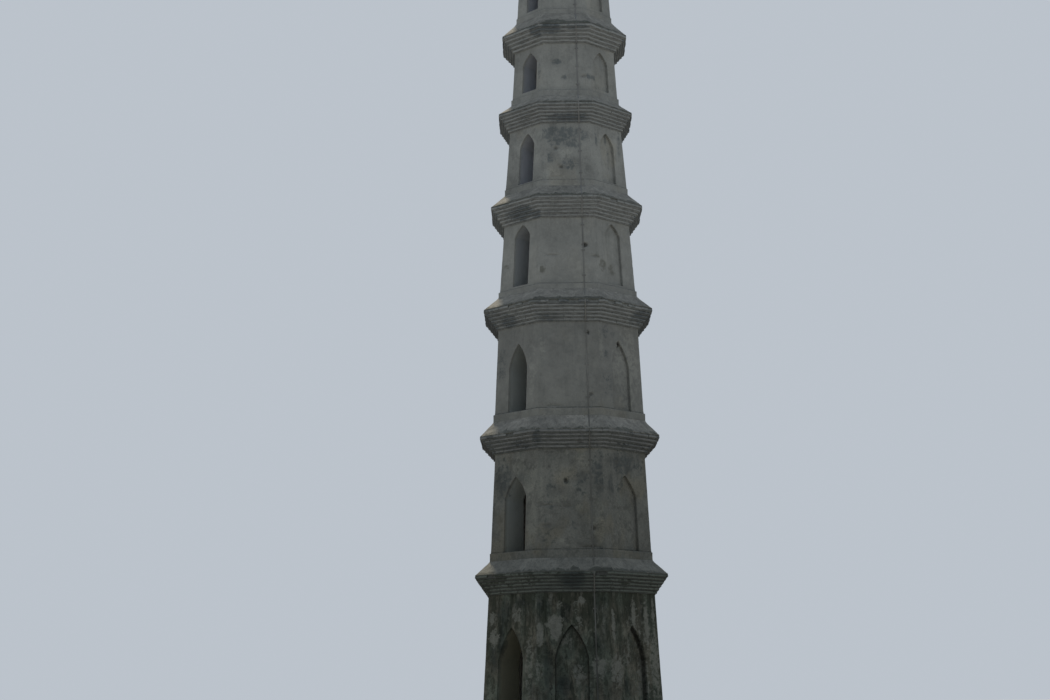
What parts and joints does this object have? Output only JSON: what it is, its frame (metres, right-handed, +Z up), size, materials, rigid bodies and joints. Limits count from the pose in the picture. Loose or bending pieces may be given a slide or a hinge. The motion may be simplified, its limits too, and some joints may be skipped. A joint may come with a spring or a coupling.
{
  "type": "octagonal masonry pagoda",
  "caption": "Slender hollow eight-sided tower of plastered brick with stepped eaves, lancet doorway and windows, blind niches, a pointed roof and an iron finial.",
  "frame": {"origin": "on the ground, on the tower's axis", "axes": "+Z up the tower's axis, and the doorway faces -Y with +X on its right seen from outside"},
  "size_m": [4.5178, 4.5178, 21.97],
  "materials": {
    "plaster": "matte",
    "stained_plaster": "matte",
    "brick": "matte",
    "weathering": "matte",
    "paving": "matte",
    "boards": "matte",
    "iron": "matte"
  },
  "bodies": {
    "root": {"plinth_1": "stained_plaster", "floor_1": "paving", "wall_1": "stained_plaster", "corbel_1": "brick", "eave_slope_1": "weathering", "plinth_2": "plaster", "floor_2": "boards", "wall_2": "plaster", "corbel_2": "brick", "eave_slope_2": "weathering", "plinth_3": "plaster", "floor_3": "boards", "wall_3": "plaster", "corbel_3": "brick", "eave_slope_3": "weathering", "plinth_4": "plaster", "floor_4": "boards", "wall_4": "plaster", "corbel_4": "brick", "eave_slope_4": "weathering", "plinth_5": "plaster", "floor_5": "boards", "wall_5": "plaster", "corbel_5": "brick", "eave_slope_5": "weathering", "plinth_6": "plaster", "floor_6": "boards", "wall_6": "plaster", "corbel_6": "brick", "eave_slope_6": "weathering", "plinth_7": "plaster", "floor_7": "boards", "wall_7": "plaster", "corbel_7": "brick", "roof": "weathering", "finial_bowl": "iron", "finial_wheel_1": "iron", "finial_wheel_2": "iron", "finial_wheel_3": "iron", "finial_gourd": "iron", "lightning_strap": "iron"}
  },
  "joints": []
}
